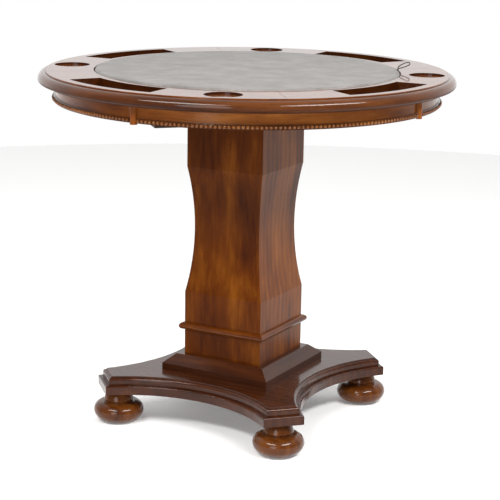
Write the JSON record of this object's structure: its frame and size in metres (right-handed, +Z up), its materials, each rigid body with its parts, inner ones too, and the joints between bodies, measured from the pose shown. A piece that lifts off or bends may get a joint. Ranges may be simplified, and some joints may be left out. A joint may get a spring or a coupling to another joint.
{
  "type": "round game table",
  "caption": "Round counter-height game table: rim with chip wells and glass recesses, lift-out playing panel, beaded apron, waisted square pedestal, bun feet.",
  "frame": {"origin": "on the floor under the column's axis, the middle of the table", "axes": "+Z up; -Y is the front and +X the right, square to the column faces"},
  "size_m": [1.0794, 1.0794, 0.9529],
  "materials": {
    "column_wood": "gloss",
    "top_wood": "gloss",
    "edge_wood": "gloss",
    "base_wood": "gloss",
    "foot_wood": "gloss",
    "stained_wood": "satin",
    "bare_wood": "matt",
    "playing_cover": "satin",
    "loop_cord": "matt",
    "glide_plastic": "matt",
    "zinc_steel": "satin"
  },
  "bodies": {
    "table": {"apron_glue_blocks": "bare_wood", "apron_panel_1": "edge_wood", "apron_panel_2": "edge_wood", "apron_panel_3": "edge_wood", "apron_panel_4": "edge_wood", "apron_splice_blocks": "bare_wood", "base_lag_screws": "zinc_steel", "base_platform": "base_wood", "bead_strip_1": "edge_wood", "bead_strip_2": "edge_wood", "bead_strip_3": "edge_wood", "bead_strip_4": "edge_wood", "bearer_screws": "zinc_steel", "bun_foot_back_left": "foot_wood", "bun_foot_back_right": "foot_wood", "bun_foot_front_left": "foot_wood", "bun_foot_front_right": "foot_wood", "collar_bead_back": "column_wood", "collar_bead_front": "column_wood", "collar_bead_left": "column_wood", "collar_bead_right": "column_wood", "column_bottom_block": "bare_wood", "column_panel_back": "column_wood", "column_panel_front": "column_wood", "column_panel_left": "column_wood", "column_panel_right": "column_wood", "column_top_block": "bare_wood", "cross_bearer": "stained_wood", "edge_moulding_1": "edge_wood", "edge_moulding_2": "edge_wood", "edge_moulding_3": "edge_wood", "edge_moulding_4": "edge_wood", "foot_glides": "glide_plastic", "foot_hanger_bolts": "zinc_steel", "main_bearer": "stained_wood", "pilaster_1": "edge_wood", "pilaster_2": "edge_wood", "pilaster_3": "edge_wood", "pilaster_4": "edge_wood", "plinth_moulding_back": "base_wood", "plinth_moulding_front": "base_wood", "plinth_moulding_left": "base_wood", "plinth_moulding_right": "base_wood", "rim_board_1": "top_wood", "rim_board_2": "top_wood", "rim_board_3": "top_wood", "rim_board_4": "top_wood", "sub_top": "stained_wood", "tie_rod": "zinc_steel", "tie_rod_nuts": "zinc_steel", "tie_rod_washers": "zinc_steel"},
    "playing_panel": {"playing_panel_core": "bare_wood", "playing_panel_covering": "playing_cover", "playing_panel_backing": "top_wood", "pull_loop": "loop_cord"}
  },
  "joints": [
    {"name": "panel_lift", "type": "slide", "parent": "table", "child": "playing_panel", "axis": [0, 0, 1], "range_m": [0, 0.15]}
  ]
}
